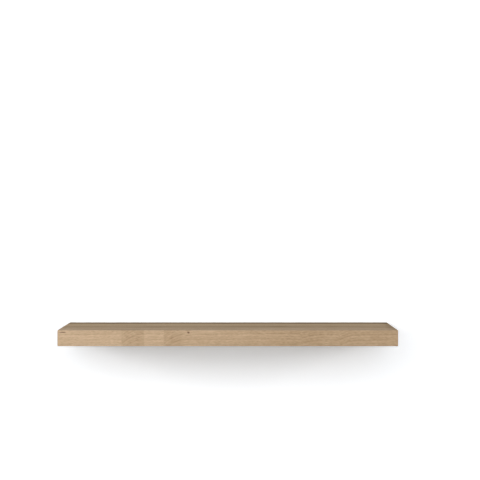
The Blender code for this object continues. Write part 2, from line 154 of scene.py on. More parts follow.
def newGroup(name, inputs, outputs):
    tree = bpy.data.node_groups.new(name, "ShaderNodeTree")
    addSockets(tree, "INPUT", inputs)
    addSockets(tree, "OUTPUT", outputs)
    return tree, tree.nodes.new("NodeGroupInput").outputs, tree.nodes.new("NodeGroupOutput").inputs


def useGroup(tree, group, inputs):
    node = tree.nodes.new("ShaderNodeGroup")
    node.node_tree = group
    for name, value in inputs.items():
        feed(tree, node.inputs[name], value)
    return node.outputs


def newMaterial(name):
    material = bpy.data.materials.new(name)
    material.use_nodes = True
    tree = material.node_tree
    tree.nodes.clear()
    return material, tree, addNode(tree, "OutputMaterial").inputs["Surface"]


print("Stage: wall, floor and light")

studio = {
    "wallY": 0.0004,        # just behind the plane of the board's back
    "wallSize": 6.4,
    "floorZ": -1.25,
    "floorDepth": 4.0,
    "wallGrey": (0.70, 0.70, 0.70, 1),
    "wallShown": (1.145, 1.170, 1.200, 1),      # the camera sees it overexposed, with a neutral shadow
    "wallLift": 0.12,       # glow that only the camera sees
    "floorGrey": (0.30, 0.30, 0.30, 1),
    "floorShown": (0.30, 0.30, 0.30, 1),
    "floorLift": 0.80,
    "worldLevel": 0.18,
}

softbox = {
    "place": (-0.62, -3.0, 1.07),
    "aim": (-0.10, 0.0, 0.25),
    "width": 13.0,
    "height": 2.95,
    "power": 175,
}

# The side lights soften the shadow below the board's ends. The rear lights, behind the wall and low,
# light the back and the ends of the board.
sideLight = {"aim": (0.0, 0.0, 0.0), "width": 2.0, "height": 0.9}
rearLight = {"aim": (0.0, 0.0, 0.0), "width": 1.5, "height": 0.5}
pairedLights = {
    "sideLight_left": {**sideLight, "place": (-3.4, -1.2, 0.85), "power": 42},
    "sideLight_right": {**sideLight, "place": (3.4, -1.2, 0.85), "power": 37},
    "rearLight_left": {**rearLight, "place": (-2.4, 2.2, -0.35), "power": 62},
    "rearLight_right": {**rearLight, "place": (2.4, 2.2, -0.35), "power": 62},
}


def stageMaterial(name, grey, shown, lift):
    material, tree, surface = newMaterial(name)
    isCamera = addNode(tree, "LightPath").outputs["Is Camera Ray"]
    diffuse = addNode(tree, "BsdfDiffuse", {"Color": mixColour(tree, isCamera, grey, shown)})
    glow = addNode(tree, "Emission", {"Strength": maths(tree, "MULTIPLY", isCamera, lift)})
    lit = addNode(tree, "AddShader")
    tree.links.new(diffuse.outputs["BSDF"], lit.inputs[0])
    tree.links.new(glow.outputs["Emission"], lit.inputs[1])
    oneSided = addNode(tree, "MixShader", {"Fac": addNode(tree, "NewGeometry").outputs["Backfacing"]})
    tree.links.new(lit.outputs["Shader"], oneSided.inputs[1])
    tree.links.new(addNode(tree, "BsdfTransparent").outputs["BSDF"], oneSided.inputs[2])
    tree.links.new(oneSided.outputs["Shader"], surface)
    return material


def stagePlane(name, corners, material):
    bm = bmesh.new()
    bm.faces.new([bm.verts.new(corner) for corner in corners])
    mesh = bpy.data.meshes.new(name)
    bm.to_mesh(mesh)
    bm.free()
    mesh.materials.append(material)
    plane = addObject(name, mesh)
    return plane


def makeStage():
    half = studio["wallSize"] / 2
    wallY = studio["wallY"]
    floorZ = studio["floorZ"]
    front = -studio["floorDepth"]
    upright = [(-half, wallY, floorZ), (half, wallY, floorZ), (half, wallY, half), (-half, wallY, half)]
    level = [(-half, front, floorZ), (half, front, floorZ), (half, wallY, floorZ), (-half, wallY, floorZ)]
    wallPaint = stageMaterial("wallPaint", studio["wallGrey"], studio["wallShown"], studio["wallLift"])
    floorPaint = stageMaterial("floorPaint", studio["floorGrey"], studio["floorShown"], studio["floorLift"])
    wall = stagePlane("wall", upright, wallPaint)
    wall.visible_shadow = False             # the rear lights shine through it
    stagePlane("floor", level, floorPaint)


def areaLight(name, settings):
    data = bpy.data.lights.new(name, "AREA")
    data.shape = "RECTANGLE"
    data.size = settings["width"]
    data.size_y = settings["height"]
    data.energy = settings["power"]
    light = addObject(name, data)
    light.location = settings["place"]
    direction = Vector(settings["aim"]) - Vector(settings["place"])
    light.rotation_euler = direction.to_track_quat("-Z", "Y").to_euler()
    light.visible_camera = False


def makeWorld():
    world = bpy.data.worlds.new("studioWorld")
    bpy.context.scene.world = world
    world.use_nodes = True
    tree = world.node_tree
    ray = addNode(tree, "LightPath").outputs
    shown = maths(tree, "MAXIMUM", ray["Is Camera Ray"], ray["Is Glossy Ray"])     # metal mirrors it
    background = tree.nodes["Background"]
    background.inputs["Color"].default_value = (1, 1, 1, 1)
    strength = remap(tree, shown, 0.0, 1.0, studio["worldLevel"], 1.0, "LINEAR")
    tree.links.new(strength, background.inputs["Strength"])


makeStage()
areaLight("softbox", softbox)
for lightName, lightSettings in pairedLights.items():
    areaLight(lightName, lightSettings)
makeWorld()

print("Stage: oak")

# In the wood groups every length is in millimetres and the grain runs along X. The last three colours
# multiply the wood's own: on cut ends, also as painted shade on the rounds beside them; as painted shade
# on lying faces, the top and the underside; and where no oil has reached.
oakColours = {
    "pale": (0.690, 0.506, 0.337, 1),
    "deep": (0.312, 0.203, 0.105, 1),
    "pore": (0.190, 0.118, 0.066, 1),
    "ray": (0.610, 0.465, 0.320, 1),
    "knot": (0.170, 0.092, 0.056, 1),
    # the cut ends' own darker tone; where it reaches onto the rounds beside them it is painted shade
    "endGrainAndShade": (0.60, 0.53, 0.45, 1),
    # painted shade: the top and the underside darker and greyer than the front
    "flatFaceShadeAndGrain": (0.778, 0.799, 0.818, 1),
    "bare": (1.22, 1.28, 1.36, 1),
}
endShade = {"reach": 24, "left": 0.12, "right": 0.42}        # painted shade towards the ends of a stave, deeper at its right end

ringShape = {
    "sway": (380, 90, 90),          # how far the trunk and its fibres go between two bends
    "ripple": (45, 9, 9),
    "rippleShare": 0.14,
    "turnScale": 100.0,             # one radian around the pith, in millimetres
    "uneven": 2.4,                  # years that a wide or narrow run of rings gains
    "unevenRun": (23, 1, 1),
    "onset": 0.06,                  # shares of a year: the pores start, and the early wood ends
    "earlyEnd": 0.62,
}


def wandering(tree, place, size, detail):
    return vectorMaths(tree, "SUBTRACT", noise(tree, place, size, detail, "Color"), (0.5, 0.5, 0.5))


def makeGrowthRings():
    inputs = {"Place": (0, 0, 0), "Pith": (0, 0, 0), "Pitch": 4.0, "Wander": 6.0, "Shift": 0.0}
    outputs = {"Early": 0.0, "Year": 0.0, "Radial": 0.0, "Turn": 0.0}
    tree, given, result = newGroup("growthRings", inputs, outputs)
    sway = wandering(tree, given["Place"], ringShape["sway"], 1.0)
    ripple = wandering(tree, given["Place"], ringShape["ripple"], 2.0)
    bend = vectorMaths(tree, "ADD", sway, vectorMaths(tree, "SCALE", ripple, ringShape["rippleShare"]))
    bent = vectorMaths(tree, "ADD", given["Place"], vectorMaths(tree, "SCALE", bend, given["Wander"]))
    across = vectorMaths(tree, "MULTIPLY", vectorMaths(tree, "SUBTRACT", bent, given["Pith"]), (0, 1, 1))
    radial = maths(tree, "ADD", vectorMaths(tree, "LENGTH", across, output="Value"), given["Shift"])
    sides = addNode(tree, "SeparateXYZ", {"Vector": across}).outputs
    turn = maths(tree, "MULTIPLY", maths(tree, "ARCTAN2", sides["Y"], sides["Z"]), ringShape["turnScale"])
    spread = addNode(tree, "CombineXYZ", {"X": radial}).outputs["Vector"]
    years = maths(tree, "DIVIDE", radial, given["Pitch"])
    uneven = noise(tree, spread, ringShape["unevenRun"], 2.0)
    years = maths(tree, "MULTIPLY_ADD", uneven, ringShape["uneven"], years)
    phase = maths(tree, "FRACT", years)
    onset = remap(tree, phase, 0.0, ringShape["onset"])
    fading = remap(tree, phase, ringShape["earlyEnd"], ringShape["onset"])
    feed(tree, result["Early"], maths(tree, "MULTIPLY", onset, fading))
    season = addNode(tree, "TexWhiteNoise", {"W": maths(tree, "FLOOR", years)}, noise_dimensions="1D")
    feed(tree, result["Year"], season.outputs["Value"])
    feed(tree, result["Radial"], radial)
    feed(tree, result["Turn"], turn)
    return tree


poreShape = {"cell": (11, 0.75, 0.75), "late": 0.07, "early": 0.30, "core": 0.5}       # shares of a cell


def makeOakPores():
    tree, given, result = newGroup("oakPores", {"Place": (0, 0, 0), "Early": 0.0}, {"Pore": 0.0})
    reach = remap(tree, given["Early"], 0.0, 1.0, poreShape["late"], poreShape["early"], "LINEAR")
    core = maths(tree, "MULTIPLY", reach, poreShape["core"])
    feed(tree, result["Pore"], remap(tree, cells(tree, given["Place"], poreShape["cell"]), reach, core))
    return tree


rayShape = {"cell": (15, 1.6, 26), "edge": 0.24, "core": 0.10}      # along, around and out from the pith


def makeOakRays():
    inputs = {"Place": (0, 0, 0), "Radial": 0.0, "Turn": 0.0}
    tree, given, result = newGroup("oakRays", inputs, {"Ray": 0.0})
    along = addNode(tree, "SeparateXYZ", {"Vector": given["Place"]}).outputs["X"]
    lay = {"X": along, "Y": given["Turn"], "Z": given["Radial"]}
    sheet = addNode(tree, "CombineXYZ", lay).outputs["Vector"]
    ray = remap(tree, cells(tree, sheet, rayShape["cell"]), rayShape["edge"], rayShape["core"])
    feed(tree, result["Ray"], ray)
    return tree


arcEdge = {"start": 0.04, "end": 0.05}          # shares of an arc's length over which it sets in and ends


def makeGrainArc():
    inputs = {"Place": (0, 0, 0), "Start": 0.0, "Length": 50.0, "Lift": 20.0, "Fade": 0.55}
    tree, given, result = newGroup("grainArc", inputs, {"Shift": 0.0, "Shade": 0.0})
    along = addNode(tree, "SeparateXYZ", {"Vector": given["Place"]}).outputs["X"]
    share = maths(tree, "DIVIDE", maths(tree, "SUBTRACT", along, given["Start"]), given["Length"])
    started = remap(tree, share, -arcEdge["start"], arcEdge["start"])
    ending = remap(tree, share, 1 + arcEdge["end"], 1 - arcEdge["end"])
    inside = maths(tree, "MULTIPLY", started, ending)
    left = maths(tree, "SUBTRACT", 1.0, share, clamp=True)
    climb = maths(tree, "MULTIPLY", maths(tree, "MULTIPLY", left, left), given["Lift"])
    feed(tree, result["Shift"], maths(tree, "MULTIPLY", climb, inside))
    fading = remap(tree, share, 1 + arcEdge["end"], given["Fade"])
    feed(tree, result["Shade"], maths(tree, "MULTIPLY", inside, fading))
    return tree


# A mark is a knot or a stain. Its dark core and the bend of the grain around it are in shares of its reach.
markShape = {"ragged": (5, 1.2, 1.2), "dark": (1.35, 0.75), "bend": (4.5, 0.7)}


def makeOakMark():
    inputs = {"Place": (0, 0, 0), "Centre": (0, 0, 0), "Reach": (8.0, 8.0, 3.0)}
    tree, given, result = newGroup("oakMark", inputs, {"Bend": 0.0, "Dark": 0.0})
    offset = vectorMaths(tree, "SUBTRACT", given["Place"], given["Centre"])
    scaled = vectorMaths(tree, "DIVIDE", offset, given["Reach"])
    distance = vectorMaths(tree, "LENGTH", scaled, output="Value")
    distance = maths(tree, "ADD", distance, noise(tree, given["Place"], markShape["ragged"], 1.0))
    feed(tree, result["Dark"], remap(tree, distance, *markShape["dark"]))
    feed(tree, result["Bend"], remap(tree, distance, *markShape["bend"]))
    return tree


oakParts = {
    "rings": makeGrowthRings(),
    "pores": makeOakPores(),
    "rays": makeOakRays(),
    "arc": makeGrainArc(),
    "mark": makeOakMark(),
}

# Shares say how much each of these deepens the tone, between pale and deep
woodTexture = {
    "streak": {"size": (34, 2.2, 2.2), "detail": 3.0, "share": 0.34},
    "fleck": {"size": (8, 1.9, 1.9), "detail": 1.0, "share": 0.58},
    "fibre": {"size": (9, 0.9, 0.9), "detail": 2.0, "share": 0.50},
    "cloud": {"size": (240, 36, 36), "detail": 1.0, "share": 0.30},
}
woodTone = {
    "middle": 0.44,
    "year": 0.09,
    "early": 0.14,
    "figure": {"middle": 0.4, "least": 0.10, "year": 0.34},         # the rings stand out on lying faces
    "pore": {"least": 0.6, "lying": 0.25},
    "ray": 0.30,
}
woodFaces = {"end": (0.15, 0.7), "top": (0.0, 0.5), "underside": (-0.6, -1.0)}      # by their normals
woodRoughness = {"base": 0.72, "pore": 0.16, "dry": 0.12, "fibre": 0.16, "ray": -0.10}
woodHeight = {"pore": -0.10, "fibre": 0.03, "early": -0.02}         # millimetres


def makeSolidOak():
    inputs = {
        "Place": (0, 0, 0), "Facing": (0, 0, 0), "Pith": (0, 0, 0), "Pitch": 4.0, "Wander": 6.0,
        "Shift": 0.0, "Shade": 0.0, "Knot": 0.0, "Bare": 0.0, "Tint": (1, 1, 1, 1),
    }
    outputs = {"Colour": (1, 1, 1, 1), "Roughness": 0.5, "Height": 0.0}
    tree, given, result = newGroup("solidOak", inputs, outputs)
    place = given["Place"]
    picked = {name: given[name] for name in ("Place", "Pith", "Pitch", "Wander", "Shift")}
    rings = useGroup(tree, oakParts["rings"], picked)
    early = rings["Early"]
    pore = useGroup(tree, oakParts["pores"], {"Place": place, "Early": early})["Pore"]
    rays = {"Place": place, "Radial": rings["Radial"], "Turn": rings["Turn"]}
    ray = useGroup(tree, oakParts["rays"], rays)["Ray"]
    facing = addNode(tree, "SeparateXYZ", {"Vector": given["Facing"]}).outputs
    # The end mask covers the cut ends and, as painted shade, the rounds beside them.
    endFaceShadeAndGrain = remap(tree, maths(tree, "ABSOLUTE", facing["X"]), *woodFaces["end"])
    # The lying-face mask draws rings and pores on the top and the underside, and paints shade on them.
    top = remap(tree, facing["Z"], *woodFaces["top"])
    flatFaceShadeAndGrain = maths(tree, "MAXIMUM", top, remap(tree, facing["Z"], *woodFaces["underside"]))

    depth = maths(tree, "ADD", given["Shade"], woodTone["middle"])
    texture = {name: noise(tree, place, kind["size"], kind["detail"]) for name, kind in woodTexture.items()}
    grain = [(woodTexture[name]["share"], part) for name, part in texture.items()]
    grain += [(woodTone["year"], rings["Year"]), (woodTone["early"], early)]
    for share, part in grain:
        depth = maths(tree, "MULTIPLY_ADD", centred(tree, part), share, depth)
    figure = woodTone["figure"]
    strength = maths(tree, "MULTIPLY_ADD", rings["Year"], figure["year"], figure["least"])
    drawn = maths(tree, "MULTIPLY", maths(tree, "SUBTRACT", early, figure["middle"]), flatFaceShadeAndGrain)
    depth = maths(tree, "MULTIPLY_ADD", drawn, strength, depth)

    depth = maths(tree, "ADD", depth, 0.0, clamp=True)
    colour = mixColour(tree, depth, oakColours["pale"], oakColours["deep"])
    poreShare = maths(tree, "MULTIPLY_ADD", flatFaceShadeAndGrain, woodTone["pore"]["lying"], woodTone["pore"]["least"])
    colour = mixColour(tree, maths(tree, "MULTIPLY", pore, poreShare), colour, oakColours["pore"])
    colour = mixColour(tree, maths(tree, "MULTIPLY", ray, woodTone["ray"]), colour, oakColours["ray"])
    colour = mixColour(tree, given["Knot"], colour, oakColours["knot"])
    # The lying-face colour paints shade on the top and the underside. The end-grain colour is the cut ends'
    # own, and painted shade on the rounds beside them.
    for share, stain in ((endFaceShadeAndGrain, "endGrainAndShade"), (flatFaceShadeAndGrain, "flatFaceShadeAndGrain"), (given["Bare"], "bare")):
        multiplied = mixColour(tree, 1.0, colour, oakColours[stain], "MULTIPLY")
        colour = mixColour(tree, share, colour, multiplied)
    feed(tree, result["Colour"], mixColour(tree, 1.0, colour, given["Tint"], "MULTIPLY"))

    dry = maths(tree, "MAXIMUM", endFaceShadeAndGrain, given["Bare"])
    roughness = maths(tree, "MULTIPLY_ADD", pore, woodRoughness["pore"], woodRoughness["base"])
    roughness = maths(tree, "MULTIPLY_ADD", dry, woodRoughness["dry"], roughness)
    fibre = texture["fibre"]
    roughness = maths(tree, "MULTIPLY_ADD", centred(tree, fibre), woodRoughness["fibre"], roughness)
    feed(tree, result["Roughness"], maths(tree, "MULTIPLY_ADD", ray, woodRoughness["ray"], roughness))
    height = maths(tree, "MULTIPLY", fibre, woodHeight["fibre"])
    height = maths(tree, "MULTIPLY_ADD", pore, woodHeight["pore"], height)
    feed(tree, result["Height"], maths(tree, "MULTIPLY_ADD", early, woodHeight["early"], height))
    return tree


solidOak = makeSolidOak()

# A stave's pith is the centre of its rings. An arc is a stretch of the front face with curved grain.
# The fall is how much deeper the front face is at its left and at its right.
plainStave = {"tint": (1.0, 1.0, 1.0, 1), "arcs": [], "knots": [], "stains": [], "fall": (0.0, 0.0)}
oakStaves = {
    "oak_stave_front": {
        **plainStave, "pith": (0, -172, -88), "pitch": 5.6, "wander": 10.0, "fall": (-0.13, 0.17),
        "arcs": [
            {"start": -249.5, "length": 53, "lift": 21, "fade": 0.98, "depth": 0.20},
            {"start": -150.0, "length": 54, "lift": 21, "fade": 0.45, "depth": 0.19},
            {"start": 172.0, "length": 60, "lift": 9, "fade": 0.5, "depth": 0.03},
            {"start": 262.0, "length": 44, "lift": 11, "fade": 0.5, "depth": 0.02},
        ],
        "knots": [
            {"centre": (-388.5, -200, 13.9), "reach": (13, 10, 1.9)},
            {"centre": (-92.4, -200, 13.1), "reach": (4.2, 8, 3.9)},
        ],
        "stains": [{"centre": (345, -200, 3), "reach": (16, 12, 9), "depth": 0.10}],
    },
    "oak_stave_second": {
        **plainStave, "pith": (0, -108, 150), "pitch": 3.4, "wander": 16.0, "tint": (0.82, 0.80, 0.74, 1),
        "stains": [
            {"centre": (116, -108, 19), "reach": (40, 11, 14), "depth": 0.30},
            {"centre": (253, -112, 19), "reach": (36, 10, 14), "depth": 0.34},
        ],
    },
    "oak_stave_third": {
        **plainStave, "pith": (0, 70, -44), "pitch": 2.9, "wander": 9.0, "tint": (1.00, 0.99, 0.92, 1),
        "knots": [{"centre": (190, -60, 19), "reach": (4, 2.2, 6)}],
    },
    "oak_stave_back": {
        **plainStave, "pith": (0, -26, -96), "pitch": 3.8, "wander": 14.0, "tint": (0.50, 0.465, 0.38, 1),
    },
}
# The front face's fall runs from left to right. Its looks end at this depth behind it, and on lying faces.
frontFace = {"left": -190, "right": 140, "depth": 16, "lying": (0.95, 0.60)}
bareDepth = (0.8, 1.4)          # the oil reaches this far in from the board's outside
oakSheen = {"bump": 0.7, "specular": 0.12}
boardLow = [min(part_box(name)[0][axis] for name in oakStaves) / mm for axis in range(3)]
boardHigh = [max(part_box(name)[1][axis] for name in oakStaves) / mm for axis in range(3)]


def bareWood(tree, place):
    middle = [(low + high) / 2 for low, high in zip(boardLow, boardHigh)]
    reach = [(high - low) / 2 for low, high in zip(boardLow, boardHigh)]
    offset = vectorMaths(tree, "ABSOLUTE", vectorMaths(tree, "SUBTRACT", place, middle))
    inset = addNode(tree, "SeparateXYZ", {"Vector": vectorMaths(tree, "SUBTRACT", reach, offset)}).outputs
    nearest = maths(tree, "MINIMUM", maths(tree, "MINIMUM", inset["X"], inset["Y"]), inset["Z"])
    return remap(tree, nearest, *bareDepth)


def nearFront(tree, name, across, normal):
    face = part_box(name)[0][1] / mm
    lying = maths(tree, "ABSOLUTE", addNode(tree, "SeparateXYZ", {"Vector": normal}).outputs["Z"])
    near = remap(tree, across, face + frontFace["depth"], face)
    return maths(tree, "MULTIPLY", near, remap(tree, lying, *frontFace["lying"]))


# Paints shade near both ends of the stave, on all but its front face.
def shadedEnds(tree, name, along, near, shade):
    left, right = (corner[0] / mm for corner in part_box(name))
    away = maths(tree, "SUBTRACT", 1.0, near)
    for side, end, inward in (("left", left, endShade["reach"]), ("right", right, -endShade["reach"])):
        endShading = maths(tree, "MULTIPLY", remap(tree, along, end + inward, end), away)
        shade = maths(tree, "MULTIPLY_ADD", endShading, endShade[side], shade)
    return shade


def useMark(tree, place, mark):
    inputs = {"Place": place, "Centre": mark["centre"], "Reach": mark["reach"]}
    return useGroup(tree, oakParts["mark"], inputs)


def makeOak(name, settings):
    material, tree, surface = newMaterial(name + "_oak")
    source = addNode(tree, "TexCoord").outputs
    place = vectorMaths(tree, "SCALE", source["Object"], 1 / mm)
    sides = addNode(tree, "SeparateXYZ", {"Vector": place}).outputs
    near = nearFront(tree, name, sides["Y"], source["Normal"])
    fall = remap(tree, sides["X"], frontFace["left"], frontFace["right"], *settings["fall"], "LINEAR")
    shade = shadedEnds(tree, name, sides["X"], near, maths(tree, "MULTIPLY", fall, near))
    shift, dark = 0.0, 0.0
    for arc in settings["arcs"]:
        inputs = {label.capitalize(): arc[label] for label in ("start", "length", "lift", "fade")}
        curve = useGroup(tree, oakParts["arc"], {"Place": place, **inputs})
        shift = maths(tree, "MULTIPLY_ADD", curve["Shift"], near, shift)
        shaded = maths(tree, "MULTIPLY", curve["Shade"], near)
        shade = maths(tree, "MULTIPLY_ADD", shaded, arc["depth"], shade)
    for mark in settings["knots"]:
        knot = useMark(tree, place, mark)
        shift = maths(tree, "MULTIPLY_ADD", knot["Bend"], mark["reach"][2], shift)
        dark = maths(tree, "MAXIMUM", knot["Dark"], dark)
    for mark in settings["stains"]:
        stain = useMark(tree, place, mark)
        shade = maths(tree, "MULTIPLY_ADD", stain["Dark"], mark["depth"], shade)
    wood = useGroup(tree, solidOak, {
        "Place": place, "Facing": source["Normal"], "Pith": settings["pith"], "Pitch": settings["pitch"],
        "Wander": settings["wander"], "Tint": settings["tint"], "Shift": shift, "Shade": shade,
        "Knot": dark, "Bare": bareWood(tree, place),
    })
    relief = {"Height": wood["Height"], "Distance": mm, "Strength": oakSheen["bump"]}
    bump = addNode(tree, "Bump", relief).outputs["Normal"]
    finish = {"Base Color": wood["Colour"], "Roughness": wood["Roughness"], "Normal": bump}
    shader = addNode(tree, "BsdfPrincipled", finish)
    shader.inputs["Specular IOR Level"].default_value = oakSheen["specular"]
    feed(tree, surface, shader.outputs["BSDF"])
    return material


def giveMaterial(piece, material):
    piece.data.materials.clear()
    piece.data.materials.append(material)


for staveName, staveSettings in oakStaves.items():
    giveMaterial(nodes[staveName], makeOak(staveName, staveSettings))

print("Stage: metal and nylon finishes")


markRanges = {
    "detail": 3.0,
    "cloud": (0.3, 0.7),
    "speckCell": (1.3, 1.3, 1.3),       # millimetres from one speck to the next
    "speck": (0.16, 0.05),
    "linesShare": 1.2,
    "tone": (-0.1, 1.1),
    "speckShare": 0.5,
}


def makeFinishMarks():
    inputs = {"Place": (0, 0, 0), "Grain": (1, 1, 1), "Patch": 3.0}
    tree, given, result = newGroup("finishMarks", inputs, {"Lines": 0.5, "Cloud": 0.5, "Specks": 0.0})
    lay = vectorMaths(tree, "MULTIPLY", given["Place"], given["Grain"])
    feed(tree, result["Lines"], noise(tree, lay, (1, 1, 1), markRanges["detail"]))
    patches = vectorMaths(tree, "SCALE", given["Place"], maths(tree, "DIVIDE", 1.0, given["Patch"]))
    cloud = noise(tree, patches, (1, 1, 1), markRanges["detail"])
    feed(tree, result["Cloud"], remap(tree, cloud, *markRanges["cloud"]))
    specks = cells(tree, given["Place"], markRanges["speckCell"])
    feed(tree, result["Specks"], remap(tree, specks, *markRanges["speck"]))
    return tree


finishMarks = makeFinishMarks()

# Grain is marks per millimetre along X, Y and Z, and drawn or ground pieces have long marks one way.
# A patch is the size of a cloud in the surface, and a bump is how high it stands, both in millimetres.
finishes = {
    "zincPlate": {
        "pale": (0.53, 0.55, 0.58, 1), "dull": (0.40, 0.42, 0.46, 1), "speck": (0.28, 0.29, 0.32, 1),
        "grain": (1.4, 1.4, 1.4), "patch": 9.0, "roughness": (0.28, 0.40), "metallic": 1.0, "bump": 0.007,
    },
    "drawnSteel": {
        "pale": (0.60, 0.60, 0.61, 1), "dull": (0.45, 0.45, 0.47, 1), "speck": (0.24, 0.21, 0.18, 1),
        "grain": (7.0, 0.05, 7.0), "patch": 30.0, "roughness": (0.20, 0.34), "metallic": 1.0, "bump": 0.010,
    },
    "groundSteel": {
        "pale": (0.64, 0.64, 0.65, 1), "dull": (0.46, 0.46, 0.48, 1), "speck": (0.30, 0.28, 0.26, 1),
        "grain": (5.0, 1.0, 1.0), "patch": 4.0, "roughness": (0.18, 0.30), "metallic": 1.0, "bump": 0.005,
    },
    "blackOxide": {
        "pale": (0.085, 0.083, 0.086, 1), "dull": (0.030, 0.030, 0.034, 1), "speck": (0.20, 0.19, 0.18, 1),
        "grain": (2.2, 2.2, 2.2), "patch": 3.0, "roughness": (0.34, 0.56), "metallic": 0.85, "bump": 0.008,
    },
    "yellowZinc": {
        "pale": (0.74, 0.57, 0.26, 1), "dull": (0.50, 0.42, 0.28, 1), "speck": (0.36, 0.28, 0.14, 1),
        "grain": (1.8, 1.8, 1.8), "patch": 3.5, "roughness": (0.24, 0.40), "metallic": 1.0, "bump": 0.006,
    },
    "greyNylon": {
        "pale": (0.46, 0.47, 0.48, 1), "dull": (0.38, 0.39, 0.40, 1), "speck": (0.33, 0.34, 0.35, 1),
        "grain": (3.0, 3.0, 3.0), "patch": 8.0, "roughness": (0.44, 0.60), "metallic": 0.0, "bump": 0.014,
    },
}


def makeFinish(name, settings):
    material, tree, surface = newMaterial(name)
    place = vectorMaths(tree, "SCALE", addNode(tree, "TexCoord").outputs["Object"], 1 / mm)
    inputs = {"Place": place, "Grain": settings["grain"], "Patch": settings["patch"]}
    marks = useGroup(tree, finishMarks, inputs)
    lines = centred(tree, marks["Lines"])
    share = maths(tree, "MULTIPLY_ADD", lines, markRanges["linesShare"], marks["Cloud"])
    tone = remap(tree, share, *markRanges["tone"])
    colour = mixColour(tree, tone, settings["pale"], settings["dull"])
    specks = maths(tree, "MULTIPLY", marks["Specks"], markRanges["speckShare"])
    colour = mixColour(tree, specks, colour, settings["speck"])
    roughness = remap(tree, share, 0.0, 1.0, *settings["roughness"], "LINEAR")
    height = maths(tree, "SUBTRACT", marks["Lines"], marks["Specks"])
    bump = addNode(tree, "Bump", {"Height": height, "Distance": settings["bump"] * mm})
    finish = {"Base Color": colour, "Roughness": roughness, "Normal": bump.outputs["Normal"]}
    shader = addNode(tree, "BsdfPrincipled", finish)
    shader.inputs["Metallic"].default_value = settings["metallic"]
    feed(tree, surface, shader.outputs["BSDF"])
    return material


finishMaterials = {name: makeFinish(name, settings) for name, settings in finishes.items()}

print("Stage: edges and shading of the packed pieces")


def makeSmoothByAngle(angle):
    group = bpy.data.node_groups.new("smoothByAngle", "GeometryNodeTree")
    group.is_modifier = True
    for side in ("INPUT", "OUTPUT"):
        group.interface.new_socket("Geometry", in_out=side, socket_type="NodeSocketGeometry")
    incoming = group.nodes.new("NodeGroupInput")
    outgoing = group.nodes.new("NodeGroupOutput")
    faces = group.nodes.new("GeometryNodeSetShadeSmooth")
    edges = group.nodes.new("GeometryNodeSetShadeSmooth")
    edges.domain = "EDGE"
    edges.inputs["Shade Smooth"].default_value = False
    turn = group.nodes.new("GeometryNodeInputMeshEdgeAngle")
    crisp = group.nodes.new("FunctionNodeCompare")
    crisp.operation = "GREATER_EQUAL"
    crisp.inputs["B"].default_value = angle
    group.links.new(incoming.outputs["Geometry"], faces.inputs["Geometry"])
    group.links.new(faces.outputs["Geometry"], edges.inputs["Geometry"])
    group.links.new(turn.outputs["Unsigned Angle"], crisp.inputs["A"])
    group.links.new(crisp.outputs["Result"], edges.inputs["Selection"])
    group.links.new(edges.outputs["Geometry"], outgoing.inputs["Geometry"])
    return group


packedFinish = {
    "weld": 1e-6,
    "crispAngle": math.radians(35),
    "roundSegments": 2,
    "arris": {"wall_plate": 0.22, "tilt_block": 0.25},      # rounds on sheared and milled edges, in mm
    "materials": {
        "wall_plate": "zincPlate", "tilt_block": "zincPlate", "support_rod": "drawnSteel",
        "pivot_pin": "groundSteel", "retaining_clip": "blackOxide",
    },
}
smoothByAngle = makeSmoothByAngle(packedFinish["crispAngle"])


def roundEdges(piece, name, width):
    edges = piece.modifiers.new(name, "BEVEL")
    edges.width = width * mm
    edges.segments = packedFinish["roundSegments"]
    edges.limit_method = "ANGLE"
    edges.angle_limit = packedFinish["crispAngle"]


def finishPacked(node, family):
    weld = node.modifiers.new("weld", "WELD")
    weld.merge_threshold = packedFinish["weld"]
    if family in packedFinish["arris"]:
        roundEdges(node, "arris", packedFinish["arris"][family])
    node.modifiers.new("shading", "NODES").node_group = smoothByAngle
    flats = node.modifiers.new("flats", "WEIGHTED_NORMAL")      # broad faces stay flat beside their rounds
    flats.keep_sharp = True
    if family in packedFinish["materials"]:
        giveMaterial(node, finishMaterials[packedFinish["materials"][family]])


families = [*packedFinish["materials"], "oak_stave"]
for nodeName, node in nodes.items():
    for family in families:
        if nodeName.startswith(family):
            finishPacked(node, family)

print("Stage: threaded and moulded pieces")

towardsRoom = Matrix.Rotation(math.radians(90), 4, "X")     # turns up, along Z, to face the room
fullTurn = math.radians(360)


def turnProfile(bm, profile, steps):
    verts = [bm.verts.new((radius * mm, 0, height * mm)) for radius, height in profile]
    edges = [bm.edges.new(pair) for pair in zip(verts, verts[1:])]
    if profile[0][0] > 0:       # a tube: its outline closes on itself
        edges.append(bm.edges.new((verts[-1], verts[0])))
    ring = {"axis": (0, 0, 1), "cent": (0, 0, 0), "angle": fullTurn, "steps": steps, "use_merge": True}
    bmesh.ops.spin(bm, geom=verts + edges, **ring)


def onlyVerts(parts):
    return [part for part in parts if isinstance(part, bmesh.types.BMVert)]


